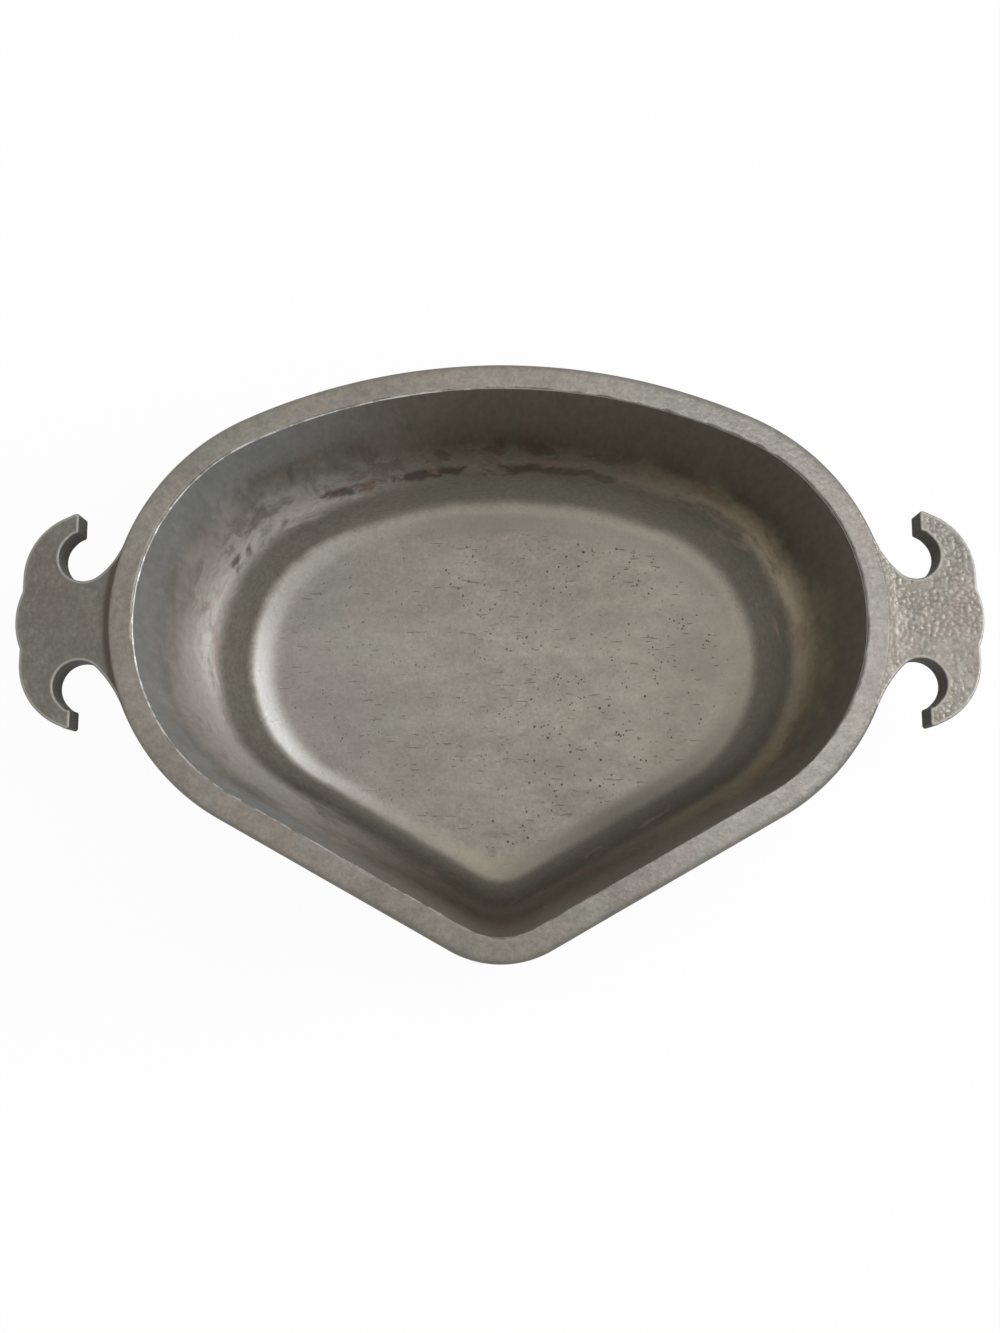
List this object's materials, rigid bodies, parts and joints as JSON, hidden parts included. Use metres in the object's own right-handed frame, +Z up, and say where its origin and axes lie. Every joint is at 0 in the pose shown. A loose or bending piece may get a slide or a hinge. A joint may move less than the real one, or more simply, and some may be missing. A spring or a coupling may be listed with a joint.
{
  "type": "pot roaster",
  "caption": "Deep wedge-shaped cast aluminium roasting pan with a rounded point, a flat rim land and a flat hooked handle on each side",
  "frame": {"origin": "on the table, under the middle of the overall box", "axes": "+Z up, +X along the two handles, -Y towards the rounded point of the wedge"},
  "size_m": [0.334, 0.2082, 0.076],
  "materials": {
    "pan_metal": "worn cast aluminium, turned rim and scoured inside, pebbled outside",
    "handle_metal": "worn cast aluminium, pebbled top face with bright rubbed edges"
  },
  "bodies": {
    "root": {"pan_body": "pan_metal", "left_handle": "handle_metal", "right_handle": "handle_metal"}
  },
  "joints": []
}
